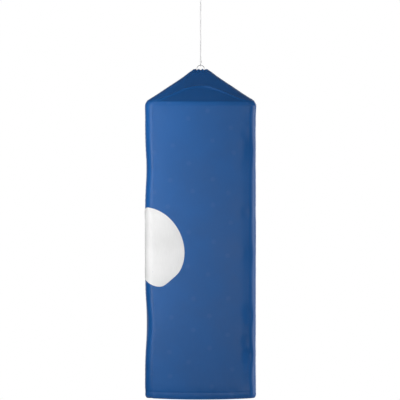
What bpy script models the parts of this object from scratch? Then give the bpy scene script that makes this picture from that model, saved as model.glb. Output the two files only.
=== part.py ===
"""Hanging streamer: a square tube of coated nylon under a gathered crown, on a cord and swivel.

Units are metres, +Z is up and the streamer's front faces -Y. The origin is the middle of the
ceiling plate's top face, and everything else hangs below it.
"""

import math

import bmesh
import bpy
from mathutils import Matrix, Vector

# Driving dimensions -------------------------------------------------------------------------

GAP = 0.0003  # clearance between pieces that touch

BODY_WIDTH = 0.310  # outside, along X
BODY_DEPTH = 0.310  # outside, along Y
BODY_HEIGHT = 0.830  # from hem to shoulder
CORNER_RADIUS = 0.020
PANEL_THICKNESS = 0.0010
CROWN_RISE = 0.098  # from shoulder to neck
NECK_WIDTH = 0.038
CROWN_SEAM_RADIUS = 0.0014

PATCH_RADIUS = 0.111  # the white eye, measured flat
PATCH_HEIGHT = 0.422  # its centre above the hem
PATCH_THICKNESS = 0.0003
PATCH_STEPS = 18  # columns on each side of the corner
PATCH_LAST_TURN = math.radians(86)
CORNER_STEPS = 6  # facets round a corner seam

ROD_RADIUS = 0.00125
JOINER_RADIUS = 0.0023
JOINER_LEG = 0.018  # straight part of a joiner, each way
JOINER_SOCKET = 0.014  # depth of the socket that a rod stands in
UPPER_FRAME_DROP = 0.007  # rod centre below the shoulder
LOWER_FRAME_RISE = 0.009  # rod centre above the hem
BRIDLE_RADIUS = 0.0007
BRIDLE_TIE = 0.62  # where a line meets the collar, each way, as a share of its radius

COLLAR_HEIGHT = 0.009
COLLAR_CONE = 0.004  # height of its sloping flank
COLLAR_RIM_WALL = 0.0010  # at its thin top edge
PIN_RADIUS = 0.0020
PIN_DROP = 0.0039  # pin centre below the neck

RING_ROOM = 0.0047  # between the neck ring and the collar's bore, for the streamer to tilt
NECK_RING_WIRE = 0.0009
CORD_RADIUS = 0.0015
CORD_LENGTH = 0.200  # straight run between its two knots
CORD_POINTS = 28
CORD_LOOP_RADIUS = 0.0046
KNOT_RADIUS = 0.0031
KNOT_HEIGHT = 0.0080

EYE_RADIUS = 0.0050  # swivel eyes, to the middle of their wire
EYE_WIRE = 0.0011
STEM_RADIUS = 0.0012
STEM_LENGTH = 0.0026  # from eye to barrel
BUTTON_RADIUS = 0.0026
BUTTON_HEIGHT = 0.0014
BARREL_RADIUS = 0.0046
BARREL_LENGTH = 0.0120
BARREL_WALL = 0.0013
BARREL_LIP = 0.0024  # thickness of each end
BARREL_TAPER = 0.0006  # how much slimmer it is towards its ends

HOOK_RING_RADIUS = 0.0085
HOOK_RING_WIRE = 0.0011
HOOK_WIRE = 0.0018
HOOK_RADIUS = 0.0090
HOOK_BEND = math.radians(45)  # where the hook's neck runs into its round part
HOOK_SHANK = 0.0045  # straight part below the plate
HOOK_TIP = math.radians(-205)

PLATE_RADIUS = 0.022
PLATE_THICKNESS = 0.004
BOSS_RADIUS = 0.0065
BOSS_HEIGHT = 0.0035
SOCKET_FLOOR = 0.0015  # material left above the hook's socket
SCREW_OFFSET = 0.0145
SCREW_RADIUS = 0.0019
SCREW_LENGTH = 0.020  # above the plate
SCREW_HEAD_RADIUS = 0.0038
SCREW_HEAD_HEIGHT = 0.0025
SLOT_WIDTH = 0.0009
SLOT_DEPTH = 0.0011
EDGE_ROUND = 0.0010  # chamfer on turned edges

# Neck, from the crown's slope inwards ----------------------------------------------------------

CROWN_SLOPE = math.atan(2 * CROWN_RISE / (max(BODY_WIDTH, BODY_DEPTH) - NECK_WIDTH))
COLLAR_RIM = NECK_WIDTH / 2 - (PANEL_THICKNESS + 2 * GAP) / math.sin(CROWN_SLOPE)
COLLAR_FLANK = COLLAR_RIM + COLLAR_CONE / math.tan(CROWN_SLOPE)
COLLAR_BORE = COLLAR_RIM - COLLAR_RIM_WALL
NECK_RING_RADIUS = COLLAR_BORE - RING_ROOM  # to the middle of its wire

# Levels, from the ceiling down ---------------------------------------------------------------

SHANK_END = -(PLATE_THICKNESS + BOSS_HEIGHT + HOOK_SHANK)
HOOK_NECK_RADIUS = HOOK_RADIUS * math.cos(HOOK_BEND) / (1 - math.cos(HOOK_BEND))
HOOK_CENTRE = SHANK_END - (HOOK_NECK_RADIUS + HOOK_RADIUS) * math.sin(HOOK_BEND)
HOOK_STRAND = HOOK_CENTRE - HOOK_RADIUS

HOOK_RING_CENTRE = HOOK_STRAND + HOOK_WIRE + GAP + HOOK_RING_WIRE - HOOK_RING_RADIUS
HOOK_RING_STRAND = HOOK_RING_CENTRE - HOOK_RING_RADIUS

UPPER_EYE_CENTRE = HOOK_RING_STRAND + HOOK_RING_WIRE + GAP + EYE_WIRE - EYE_RADIUS
BARREL_TOP = UPPER_EYE_CENTRE - EYE_RADIUS - EYE_WIRE - STEM_LENGTH
BARREL_BOTTOM = BARREL_TOP - BARREL_LENGTH
LOWER_EYE_CENTRE = BARREL_BOTTOM - STEM_LENGTH - EYE_WIRE - EYE_RADIUS
LOWER_EYE_STRAND = LOWER_EYE_CENTRE - EYE_RADIUS

UPPER_LOOP_CENTRE = LOWER_EYE_STRAND + EYE_WIRE + GAP + CORD_RADIUS - CORD_LOOP_RADIUS
UPPER_KNOT_TOP = UPPER_LOOP_CENTRE - CORD_LOOP_RADIUS + CORD_RADIUS / 2
CORD_TOP = UPPER_KNOT_TOP - KNOT_HEIGHT - GAP
CORD_BOTTOM = CORD_TOP - CORD_LENGTH
LOWER_KNOT_TOP = CORD_BOTTOM - GAP
LOWER_LOOP_CENTRE = LOWER_KNOT_TOP - KNOT_HEIGHT + CORD_RADIUS / 2 - CORD_LOOP_RADIUS

NECK_RING_STRAND = LOWER_LOOP_CENTRE - CORD_LOOP_RADIUS + CORD_RADIUS + GAP + NECK_RING_WIRE
NECK_RING_CENTRE = NECK_RING_STRAND - NECK_RING_RADIUS
PIN_LEVEL = NECK_RING_CENTRE - NECK_RING_RADIUS + NECK_RING_WIRE + GAP + PIN_RADIUS
NECK = PIN_LEVEL + PIN_DROP
SHOULDER = NECK - CROWN_RISE
HEM = SHOULDER - BODY_HEIGHT

# Where the frame joiners' centre lines bend, inside the rounded corners of the fabric.
JOINER_BEND = CORNER_RADIUS - PANEL_THICKNESS - GAP - JOINER_RADIUS

FABRIC_BLUE = (0.045, 0.125, 0.290)
SEAM_BLUE = (0.020, 0.060, 0.150)
SIDES = {"front": 0, "right": 90, "back": 180, "left": 270}
CORNERS = {
    "front_left": (-1, -1, 180),
    "front_right": (1, -1, 270),
    "back_right": (1, 1, 0),
    "back_left": (-1, 1, 90),
}

# Scene and helpers ---------------------------------------------------------------------------

for old in list(bpy.data.objects):
    bpy.data.objects.remove(old, do_unlink=True)


def collection(name):
    """A collection of this name, linked to the scene."""
    made = bpy.data.collections.new(name)
    bpy.context.scene.collection.children.link(made)
    return made


PARTS = collection("hanging_streamer")
CUTTERS = collection("cutters")


def material(name, colour, roughness, metallic=0.0):
    """A plain Principled material."""
    made = bpy.data.materials.new(name)
    made.use_nodes = True
    shader = made.node_tree.nodes["Principled BSDF"]
    shader.inputs["Base Color"].default_value = (*colour, 1)
    shader.inputs["Roughness"].default_value = roughness
    shader.inputs["Metallic"].default_value = metallic
    return made


def place(name, data, finish=None, home=PARTS):
    """A new object in a collection, with its material."""
    made = bpy.data.objects.new(name, data)
    home.objects.link(made)
    if finish and not data.materials:
        data.materials.append(finish)
    return made


def mesh_of(shape, name):
    """A mesh datablock from a bmesh, which is freed."""
    data = bpy.data.meshes.new(name)
    shape.to_mesh(data)
    shape.free()
    return data


def smooth(data, angle=35):
    """Smooth shading with edges over this many degrees kept sharp."""
    data.shade_smooth()
    data.set_sharp_from_angle(angle=math.radians(angle))


def box(name, size, centre, finish=None, home=PARTS):
    """A box by its size and centre."""
    shape = bmesh.new()
    bmesh.ops.create_cube(shape, size=1)
    bmesh.ops.scale(shape, vec=size, verts=shape.verts)
    made = place(name, mesh_of(shape, name), finish, home)
    made.location = centre
    return made


def cylinder(name, radius, length, centre, axis="Z", finish=None, home=PARTS, sides=16):
    """A closed cylinder along X, Y or Z by its middle."""
    turns = {"X": Matrix.Rotation(math.pi / 2, 4, "Y"), "Y": Matrix.Rotation(math.pi / 2, 4, "X")}
    shape = bmesh.new()
    bmesh.ops.create_cone(
        shape,
        cap_ends=True,
        segments=sides,
        radius1=radius,
        radius2=radius,
        depth=length,
        matrix=turns.get(axis, Matrix.Identity(4)),
    )
    data = mesh_of(shape, name)
    smooth(data)
    made = place(name, data, finish, home)
    made.location = centre
    return made


def torus(name, radius, wire, centre, plane, finish=None, home=PARTS, steps=28, sides=10):
    """A ring of round wire, standing in the XZ or the YZ plane."""
    turn = {"XZ": (math.pi / 2, 0, 0), "YZ": (0, math.pi / 2, 0)}[plane]
    bpy.ops.mesh.primitive_torus_add(
        major_segments=steps,
        minor_segments=sides,
        major_radius=radius,
        minor_radius=wire,
    )
    made = bpy.context.active_object
    made.name = name
    for owner in list(made.users_collection):
        owner.objects.unlink(made)
    home.objects.link(made)
    made.data.shade_smooth()
    made.rotation_euler = turn
    made.location = centre
    if finish:
        made.data.materials.append(finish)
    return made


def turned(name, profile, finish=None, home=PARTS, steps=24, closed=False, angle=360):
    """A profile of (radius, z), top to bottom on its outer side, turned about Z."""
    shape = bmesh.new()
    points = [shape.verts.new((radius, 0, z)) for radius, z in profile]
    for first, second in zip(points, points[1:]):
        shape.edges.new((first, second))
    if closed:
        shape.edges.new((points[-1], points[0]))
    made = place(name, mesh_of(shape, name), finish, home)
    screw = made.modifiers.new("turn", "SCREW")
    screw.angle = math.radians(angle)
    screw.steps = steps
    screw.render_steps = steps
    screw.use_merge_vertices = angle == 360
    screw.merge_threshold = 0.00001
    screw.use_smooth_shade = True
    return made


def tube(name, points, radius, finish=None, home=PARTS):
    """A round wire or cord along a chain of points, with filled ends."""
    path = bpy.data.curves.new(name, "CURVE")
    path.dimensions = "3D"
    path.bevel_depth = radius
    path.bevel_resolution = 2
    path.use_fill_caps = True
    line = path.splines.new("POLY")
    line.points.add(len(points) - 1)
    for knot, at in zip(line.points, points):
        knot.co = (*at, 1)
    return place(name, path, finish, home)


def welded(curve):
    """The same shape as a mesh object with its loose caps welded on, in place of the curve."""
    name = curve.name
    finish = curve.data.materials[0] if curve.data.materials else None
    home = curve.users_collection[0]
    bpy.context.view_layer.update()
    ready = curve.evaluated_get(bpy.context.evaluated_depsgraph_get())
    data = bpy.data.meshes.new_from_object(ready)
    place_at = curve.matrix_world.copy()
    bpy.data.objects.remove(curve, do_unlink=True)
    shape = bmesh.new()
    shape.from_mesh(data)
    bmesh.ops.remove_doubles(shape, verts=shape.verts, dist=0.00001)
    bmesh.ops.recalc_face_normals(shape, faces=shape.faces)
    shape.to_mesh(data)
    shape.free()
    data.name = name
    made = place(name, data, finish, home)
    made.matrix_world = place_at
    return made


def combine(target, tool, operation):
    """Cuts a tool out of a target, or joins it on, and keeps the tool only as a guide."""
    step = target.modifiers.new(tool.name, "BOOLEAN")
    step.operation = operation
    step.solver = "EXACT"
    step.object = tool
    tool.hide_render = True
    tool.display_type = "WIRE"
    return target


def arc(radius, start, end, count):
    """Points (x, z) on a circle about the origin, from one angle to another."""
    angles = [start + (end - start) * i / count for i in range(count + 1)]
    return [(radius * math.cos(angle), radius * math.sin(angle)) for angle in angles]


# Materials -----------------------------------------------------------------------------------

BODY_FABRIC = material("body_fabric", FABRIC_BLUE, 0.38)
CROWN_FABRIC = material("crown_fabric", (0.018, 0.075, 0.210), 0.34)
SEAM_TAPE = material("seam_tape", SEAM_BLUE, 0.45)
PATCH_FABRIC = material("patch_fabric", (0.80, 0.80, 0.80), 0.55)
CORD_BRAID = material("cord_braid", (0.86, 0.86, 0.84), 0.75)
BRIDLE_LINE = material("bridle_line", (0.55, 0.57, 0.60), 0.70)
FIBREGLASS = material("fibreglass", (0.72, 0.74, 0.72), 0.35)
JOINER_VINYL = material("joiner_vinyl", (0.03, 0.03, 0.035), 0.50)
COLLAR_PLASTIC = material("collar_plastic", (0.02, 0.05, 0.12), 0.40)
STEEL = material("steel", (0.62, 0.63, 0.65), 0.25, 1.0)
WHITE_ENAMEL = material("white_enamel", (0.82, 0.82, 0.80), 0.35)

# Ceiling fitting -----------------------------------------------------------------------------


def ceiling_plate():
    """A round plate with a boss for the hook's shank and two screw holes."""
    under = -PLATE_THICKNESS
    boss = under - BOSS_HEIGHT
    plate = turned(
        "ceiling_plate",
        [
            (0, 0),
            (PLATE_RADIUS, 0),
            (PLATE_RADIUS, 0.6 * under),
            (PLATE_RADIUS - 1.6 * EDGE_ROUND, under),
            (BOSS_RADIUS + 2 * EDGE_ROUND, under),
            (BOSS_RADIUS, boss + EDGE_ROUND),
            (BOSS_RADIUS - EDGE_ROUND, boss),
            (0, boss),
        ],
        WHITE_ENAMEL,
        steps=40,
    )
    depth = -SOCKET_FLOOR - boss
    socket = cylinder(
        "hook_socket_cutter", HOOK_WIRE + GAP, 2 * depth, (0, 0, boss), home=CUTTERS
    )
    combine(plate, socket, "DIFFERENCE")
    for side, x in screw_places():
        hole = cylinder(
            f"screw_hole_cutter_{side}",
            SCREW_RADIUS + GAP,
            4 * PLATE_THICKNESS,
            (x, 0, under),
            home=CUTTERS,
        )
        combine(plate, hole, "DIFFERENCE")


def screw_places():
    """Each screw's side and its place along X."""
    return (("left", -SCREW_OFFSET), ("right", SCREW_OFFSET))


def plate_screws():
    """Two slotted round-headed screws, up through the plate."""
    seat = -PLATE_THICKNESS - GAP
    crown = seat - SCREW_HEAD_HEIGHT
    for side, x in screw_places():
        screw = turned(
            f"plate_screw_{side}",
            [
                (0, SCREW_LENGTH),
                (SCREW_RADIUS, SCREW_LENGTH - 2 * SCREW_RADIUS),
                (SCREW_RADIUS, seat),
                (SCREW_HEAD_RADIUS, seat),
                (SCREW_HEAD_RADIUS, seat - 0.5 * SCREW_HEAD_HEIGHT),
                (0.7 * SCREW_HEAD_RADIUS, crown + 0.1 * SCREW_HEAD_HEIGHT),
                (0, crown),
            ],
            STEEL,
            steps=20,
        )
        screw.location.x = x
        slot = box(
            f"screw_slot_cutter_{side}",
            (SLOT_WIDTH, 3 * SCREW_HEAD_RADIUS, 2 * SLOT_DEPTH),
            (x, 0, crown),
            home=CUTTERS,
        )
        combine(screw, slot, "DIFFERENCE")


def ceiling_hook():
    """A wire hook: shank, an easy S-bend, and a round part that ends short of the shank."""
    top = -SOCKET_FLOOR - GAP
    points = [(0, 0, top), (0, 0, (top + SHANK_END) / 2)]
    for x, z in arc(HOOK_NECK_RADIUS, math.pi, math.pi + HOOK_BEND, 6):
        points.append((x + HOOK_NECK_RADIUS, 0, z + SHANK_END))
    for x, z in arc(HOOK_RADIUS, HOOK_BEND, HOOK_TIP, 26)[1:]:
        points.append((x, 0, z + HOOK_CENTRE))
    welded(tube("ceiling_hook", points, HOOK_WIRE, STEEL))


# Ring and swivel -----------------------------------------------------------------------------


def eye_with_stem(name, eye_centre, down):
    """A swivel eye, its stem, and the button that holds the stem inside the barrel."""
    sign = -1 if down else 1
    barrel_face = BARREL_TOP if down else BARREL_BOTTOM
    start = eye_centre + sign * (EYE_RADIUS - EYE_WIRE / 2)
    inner = barrel_face + sign * (BARREL_LIP + GAP)
    end = inner + sign * BUTTON_HEIGHT
    profile = [
        (0, start),
        (STEM_RADIUS, start),
        (STEM_RADIUS, inner),
        (BUTTON_RADIUS, inner),
        (BUTTON_RADIUS, end),
        (0, end),
    ]
    if not down:
        profile.reverse()
    eye = torus(name, EYE_RADIUS, EYE_WIRE, (0, 0, eye_centre), "XZ", STEEL, steps=24)
    stem = turned(f"{name}_stem", profile, STEEL, CUTTERS, steps=16)
    combine(eye, stem, "UNION")


def swivel_barrel():
    """A hollow barrel whose end holes pass the two stems."""
    hole = STEM_RADIUS + GAP
    hollow = BARREL_RADIUS - BARREL_WALL
    shoulder = BARREL_RADIUS - BARREL_TAPER
    turned(
        "swivel_barrel",
        [
            (hole, BARREL_TOP),
            (shoulder - EDGE_ROUND, BARREL_TOP),
            (shoulder, BARREL_TOP - EDGE_ROUND),
            (BARREL_RADIUS, BARREL_TOP - BARREL_LENGTH / 3),
            (BARREL_RADIUS, BARREL_BOTTOM + BARREL_LENGTH / 3),
            (shoulder, BARREL_BOTTOM + EDGE_ROUND),
            (shoulder - EDGE_ROUND, BARREL_BOTTOM),
            (hole, BARREL_BOTTOM),
            (hole, BARREL_BOTTOM + BARREL_LIP),
            (hollow, BARREL_BOTTOM + BARREL_LIP),
            (hollow, BARREL_TOP - BARREL_LIP),
            (hole, BARREL_TOP - BARREL_LIP),
        ],
        STEEL,
        closed=True,
    )


# Cord ----------------------------------------------------------------------------------------


def knotted_loop(name, loop_centre, knot_top):
    """A small loop of the cord and the knot that closes it."""
    waist = 0.55 * KNOT_RADIUS
    profile = [(0, knot_top), (waist, knot_top)]
    for share, radius in ((0.2, 0.9), (0.4, 1.0), (0.6, 1.0), (0.8, 0.9)):
        profile.append((radius * KNOT_RADIUS, knot_top - share * KNOT_HEIGHT))
    profile += [(waist, knot_top - KNOT_HEIGHT), (0, knot_top - KNOT_HEIGHT)]
    loop = torus(name, CORD_LOOP_RADIUS, CORD_RADIUS, (0, 0, loop_centre), "YZ", CORD_BRAID)
    knot = turned(f"{name}_knot", profile, CORD_BRAID, CUTTERS, steps=14)
    combine(loop, knot, "UNION")


def hanging_cord():
    """The taut run of cord, from knot to knot."""
    step = CORD_LENGTH / (CORD_POINTS - 1)
    points = [(0, 0, CORD_TOP - i * step) for i in range(CORD_POINTS)]
    welded(tube("hanging_cord", points, CORD_RADIUS, CORD_BRAID))


# Neck ----------------------------------------------------------------------------------------


def neck_collar():
    """A turned collar that fits under the crown panels, cut for the pin across it."""
    collar = turned(
        "neck_collar",
        [
            (COLLAR_BORE, NECK),
            (COLLAR_RIM, NECK),
            (COLLAR_FLANK, NECK - COLLAR_CONE),
            (COLLAR_FLANK, NECK - COLLAR_HEIGHT),
            (COLLAR_BORE, NECK - COLLAR_HEIGHT),
        ],
        COLLAR_PLASTIC,
        steps=36,
        closed=True,
    )
    bore = cylinder(
        "pin_hole_cutter",
        PIN_RADIUS + GAP,
        4 * COLLAR_FLANK,
        (0, 0, PIN_LEVEL),
        "Y",
        home=CUTTERS,
    )
    combine(collar, bore, "DIFFERENCE")


def neck_pin():
    """The pin that the ring pulls up on; its ends stay inside the collar's sloping flank."""
    reach = COLLAR_RIM + (PIN_DROP - PIN_RADIUS) / math.tan(CROWN_SLOPE) - GAP
    cylinder("neck_pin", PIN_RADIUS, 2 * reach, (0, 0, PIN_LEVEL), "Y", STEEL)


# Fabric --------------------------------------------------------------------------------------


def across(side):
    """The fabric's size along one side, and its size from that side to the other."""
    if side in ("front", "back"):
        return BODY_WIDTH, BODY_DEPTH
    return BODY_DEPTH, BODY_WIDTH


def face_out(thing, side):
    """Turns a piece that is made facing -Y towards its own side."""
    thing.matrix_world = Matrix.Rotation(math.radians(SIDES[side]), 4, "Z") @ thing.matrix_world


def body_panels():
    """Four flat walls between the rounded corner seams."""
    for side in SIDES:
        span, through = across(side)
        width = span - 2 * (CORNER_RADIUS + GAP)
        panel = box(
            f"body_panel_{side}",
            (width, PANEL_THICKNESS, BODY_HEIGHT - GAP),
            (0, -(through - PANEL_THICKNESS) / 2, (SHOULDER - GAP + HEM) / 2),
            BODY_FABRIC,
        )
        bpy.context.view_layer.update()
        face_out(panel, side)


def corner_seams():
    """Quarter-round strips that join neighbouring walls, from shoulder to hem."""
    for corner, (x_sign, y_sign, turn) in CORNERS.items():
        seam = turned(
            f"corner_seam_{corner}",
            [(CORNER_RADIUS, SHOULDER - GAP), (CORNER_RADIUS, HEM)],
            SEAM_TAPE,
            steps=CORNER_STEPS,
            angle=90,
        )
        wall = seam.modifiers.new("thickness", "SOLIDIFY")
        wall.thickness = PANEL_THICKNESS
        wall.offset = -1
        seam.location = (
            x_sign * (BODY_WIDTH / 2 - CORNER_RADIUS),
            y_sign * (BODY_DEPTH / 2 - CORNER_RADIUS),
            0,
        )
        seam.rotation_euler.z = math.radians(turn)


def crown_panels():
    """Four sloping panels, each a trapezium that stops short of the hip seams."""
    middle = PANEL_THICKNESS / 2
    for side in SIDES:
        span, through = across(side)
        run = (through - NECK_WIDTH) / 2
        slope = math.atan2(CROWN_RISE, run)
        slant = math.hypot(run, CROWN_RISE)
        spread = (span - NECK_WIDTH) / 2 / slant
        inset = (CROWN_SEAM_RADIUS + GAP) * math.hypot(1, spread)
        low = (GAP + PANEL_THICKNESS * math.cos(slope)) / math.sin(slope)
        low_half = span / 2 - spread * low - inset
        top_half = NECK_WIDTH / 2 - inset
        outline = bpy.data.curves.new(f"crown_panel_{side}", "CURVE")
        outline.dimensions = "2D"
        outline.fill_mode = "BOTH"
        outline.extrude = middle
        edge = outline.splines.new("POLY")
        edge.points.add(3)
        corners = ((-low_half, low), (low_half, low), (top_half, slant), (-top_half, slant))
        for knot, (x, y) in zip(edge.points, corners):
            knot.co = (x, y, 0, 1)
        edge.use_cyclic_u = True
        panel = place(f"crown_panel_{side}", outline, CROWN_FABRIC)
        panel.rotation_euler.x = slope
        into = Vector((0, math.sin(slope), -math.cos(slope))) * middle
        panel.location = Vector((0, -through / 2, SHOULDER)) + into
        panel = welded(panel)
        face_out(panel, side)


def crown_seams():
    """A round seam cord along each hip of the crown."""
    start_share = 0.05
    end_share = 0.985
    middle = PANEL_THICKNESS / 2
    for corner, (x_sign, y_sign, _) in CORNERS.items():
        low = Vector((BODY_WIDTH / 2 - middle, BODY_DEPTH / 2 - middle, SHOULDER))
        high = Vector((NECK_WIDTH / 2 - middle, NECK_WIDTH / 2 - middle, NECK))
        ends = [low.lerp(high, start_share), low.lerp(high, end_share)]
        points = [(x_sign * at.x, y_sign * at.y, at.z - middle) for at in ends]
        welded(tube(f"crown_seam_{corner}", points, CROWN_SEAM_RADIUS, SEAM_TAPE))


def patch_stations(half_arc):
    """Distances along the fabric from the corner: even steps round it, then closing up outwards."""
    steps = CORNER_STEPS // 2
    round_part = [half_arc * i / steps for i in range(-steps, steps + 1)]
    first = math.asin(half_arc / PATCH_RADIUS)
    turns = [first + (PATCH_LAST_TURN - first) * i / PATCH_STEPS for i in range(1, PATCH_STEPS + 1)]
    flat_part = [PATCH_RADIUS * math.sin(turn) for turn in turns]
    return [-along for along in reversed(flat_part)] + round_part + flat_part


def eye_patch():
    """A round white patch, bent about the front left corner."""
    half_arc = math.radians(90) * CORNER_RADIUS / 2
    stations = patch_stations(half_arc)
    last = len(stations) - 1
    shape = bmesh.new()
    bmesh.ops.create_grid(shape, x_segments=last, y_segments=1, size=0.5)
    for vertex in shape.verts:
        along = stations[round((vertex.co.x + 0.5) * last)]
        tall = math.copysign(math.sqrt(PATCH_RADIUS**2 - along**2), vertex.co.y)
        x, y = bent(along, half_arc, CORNER_RADIUS + GAP)
        vertex.co = (x, y, HEM + PATCH_HEIGHT + tall)
    patch = place("eye_patch", mesh_of(shape, "eye_patch"), PATCH_FABRIC)
    wall = patch.modifiers.new("thickness", "SOLIDIFY")
    wall.thickness = PATCH_THICKNESS
    wall.offset = 1


def bent(along, half_arc, outside):
    """Where a point this far along the fabric from the front left corner lies, seen from above."""
    centre_x = -(BODY_WIDTH / 2 - CORNER_RADIUS)
    centre_y = -(BODY_DEPTH / 2 - CORNER_RADIUS)
    if along > half_arc:
        return centre_x + along - half_arc, centre_y - outside
    if along < -half_arc:
        return centre_x - outside, centre_y - along - half_arc
    turn = math.radians(225) + along / half_arc * math.radians(45)
    return centre_x + outside * math.cos(turn), centre_y + outside * math.sin(turn)


# Frames and bridle ---------------------------------------------------------------------------


def joiner_mesh():
    """One corner joiner with two sockets; its bend's centre is the mesh's origin."""
    legs = [(JOINER_BEND, -JOINER_LEG), (JOINER_BEND, -JOINER_LEG / 2)]
    legs += arc(JOINER_BEND, 0, math.pi / 2, 6)
    legs += [(-JOINER_LEG / 2, JOINER_BEND), (-JOINER_LEG, JOINER_BEND)]
    joiner = welded(tube("joiner", [(x, y, 0) for x, y in legs], JOINER_RADIUS, JOINER_VINYL))
    middle = -JOINER_LEG
    for axis, centre in (("Y", (JOINER_BEND, middle, 0)), ("X", (middle, JOINER_BEND, 0))):
        socket = cylinder(
            f"joiner_socket_cutter_{axis.lower()}",
            ROD_RADIUS + GAP,
            2 * JOINER_SOCKET,
            centre,
            axis,
            home=CUTTERS,
            sides=12,
        )
        combine(joiner, socket, "DIFFERENCE")
    bpy.context.view_layer.update()
    ready = joiner.evaluated_get(bpy.context.evaluated_depsgraph_get())
    data = bpy.data.meshes.new_from_object(ready)
    bpy.data.objects.remove(joiner, do_unlink=True)
    return data


def frame(level_name, level, joiner):
    """A square of four rods in four joiners, just inside the fabric."""
    first = JOINER_LEG - JOINER_SOCKET + GAP
    for corner, (x_sign, y_sign, turn) in CORNERS.items():
        made = place(f"{level_name}_joiner_{corner}", joiner)
        made.location = (
            x_sign * (BODY_WIDTH / 2 - CORNER_RADIUS),
            y_sign * (BODY_DEPTH / 2 - CORNER_RADIUS),
            level,
        )
        made.rotation_euler.z = math.radians(turn)
    for side in SIDES:
        span, through = across(side)
        length = span - 2 * (CORNER_RADIUS + first)
        offset = through / 2 - CORNER_RADIUS + JOINER_BEND
        rod = cylinder(
            f"{level_name}_rod_{side}",
            ROD_RADIUS,
            length,
            (0, -offset, level),
            "X",
            FIBREGLASS,
            sides=12,
        )
        bpy.context.view_layer.update()
        face_out(rod, side)


def bridle_lines():
    """A line from each upper joiner up to the collar, which carries the frame's weight."""
    above = SHOULDER - UPPER_FRAME_DROP + JOINER_RADIUS + GAP + BRIDLE_RADIUS
    bend = JOINER_BEND * math.cos(math.pi / 4)
    tied = BRIDLE_TIE * COLLAR_FLANK
    end_z = NECK - COLLAR_HEIGHT - GAP - BRIDLE_RADIUS
    for corner, (x_sign, y_sign, _) in CORNERS.items():
        low = (
            x_sign * (BODY_WIDTH / 2 - CORNER_RADIUS + bend),
            y_sign * (BODY_DEPTH / 2 - CORNER_RADIUS + bend),
            above,
        )
        high = (x_sign * tied, y_sign * tied, end_z)
        welded(tube(f"bridle_line_{corner}", [low, high], BRIDLE_RADIUS, BRIDLE_LINE))


# Assembly ------------------------------------------------------------------------------------

ceiling_plate()
plate_screws()
ceiling_hook()
torus(
    "hook_ring", HOOK_RING_RADIUS, HOOK_RING_WIRE, (0, 0, HOOK_RING_CENTRE), "YZ", STEEL
)
eye_with_stem("swivel_upper_eye", UPPER_EYE_CENTRE, down=True)
swivel_barrel()
eye_with_stem("swivel_lower_eye", LOWER_EYE_CENTRE, down=False)
knotted_loop("cord_upper_loop", UPPER_LOOP_CENTRE, UPPER_KNOT_TOP)
hanging_cord()
knotted_loop("cord_lower_loop", LOWER_LOOP_CENTRE, LOWER_KNOT_TOP)
torus(
    "neck_ring", NECK_RING_RADIUS, NECK_RING_WIRE, (0, 0, NECK_RING_CENTRE), "XZ", STEEL
)
neck_collar()
neck_pin()
body_panels()
corner_seams()
crown_panels()
crown_seams()
eye_patch()
corner_joiner = joiner_mesh()
frame("upper", SHOULDER - UPPER_FRAME_DROP, corner_joiner)
frame("lower", HEM + LOWER_FRAME_RISE, corner_joiner)
bridle_lines()
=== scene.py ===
"""Looks for the hanging streamer: satin nylon skin, braided cord, and the rig's metal and plastic.

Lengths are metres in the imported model's frame: the top of the ceiling plate is the origin, +Z is
up and the streamer's front faces -Y. The fabric is one continuous skin, cut into panels, corner
tapes, hip tapes and a patch that all follow the same surface.
"""

import math

import bmesh
import bpy
from mathutils import Matrix, Vector, noise


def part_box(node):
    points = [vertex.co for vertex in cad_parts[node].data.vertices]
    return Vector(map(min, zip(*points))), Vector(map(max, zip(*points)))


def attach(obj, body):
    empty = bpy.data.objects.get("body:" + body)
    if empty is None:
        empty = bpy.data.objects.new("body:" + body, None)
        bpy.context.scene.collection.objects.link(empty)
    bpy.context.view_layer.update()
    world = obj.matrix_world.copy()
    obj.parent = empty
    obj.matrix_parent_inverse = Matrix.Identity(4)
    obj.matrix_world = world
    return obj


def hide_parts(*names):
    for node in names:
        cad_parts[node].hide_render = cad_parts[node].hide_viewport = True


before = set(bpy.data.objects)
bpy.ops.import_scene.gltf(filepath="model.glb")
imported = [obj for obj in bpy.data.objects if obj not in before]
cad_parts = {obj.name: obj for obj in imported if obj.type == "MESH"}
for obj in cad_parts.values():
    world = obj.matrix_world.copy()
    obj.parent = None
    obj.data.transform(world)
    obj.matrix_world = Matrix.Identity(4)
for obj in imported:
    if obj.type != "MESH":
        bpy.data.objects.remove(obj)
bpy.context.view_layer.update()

# Sizes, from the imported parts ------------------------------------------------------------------

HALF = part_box("body_panel_right")[1].x  # from the middle to the outside of a side
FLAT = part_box("body_panel_front")[1].x  # half of a panel's flat part
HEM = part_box("body_panel_front")[0].z
SHOULDER = (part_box("body_panel_front")[1].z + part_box("crown_panel_front")[0].z) / 2
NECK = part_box("crown_panel_front")[1].z
CORNER = HALF - FLAT  # radius of the rounded corners
HALF_ARC = CORNER * math.pi / 4  # from a corner's middle to its side's flat part
ROD_LEVEL = (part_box("lower_rod_front")[0].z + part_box("lower_rod_front")[1].z) / 2
CORD_LOW, CORD_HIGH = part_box("hanging_cord")
CORD_RADIUS = CORD_HIGH.x
PATCH_LOW, PATCH_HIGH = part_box("eye_patch")
PATCH_LEVEL = (PATCH_LOW.z + PATCH_HIGH.z) / 2
PATCH_RADIUS = (PATCH_HIGH.z - PATCH_LOW.z) / 2

NECK_HALF = 0.019  # half of the gathered neck's width
NECK_CORNER = 0.012  # radius of its corners
NECK_REACH = NECK_HALF - NECK_CORNER + NECK_CORNER * math.pi / 4  # mid-side to mid-corner
SLOPE = math.atan2(NECK - SHOULDER, HALF - NECK_HALF)  # of the crown, from level
CROWN_LENGTH = (NECK - SHOULDER) / math.sin(SLOPE)
BODY_LENGTH = SHOULDER - HEM

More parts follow.
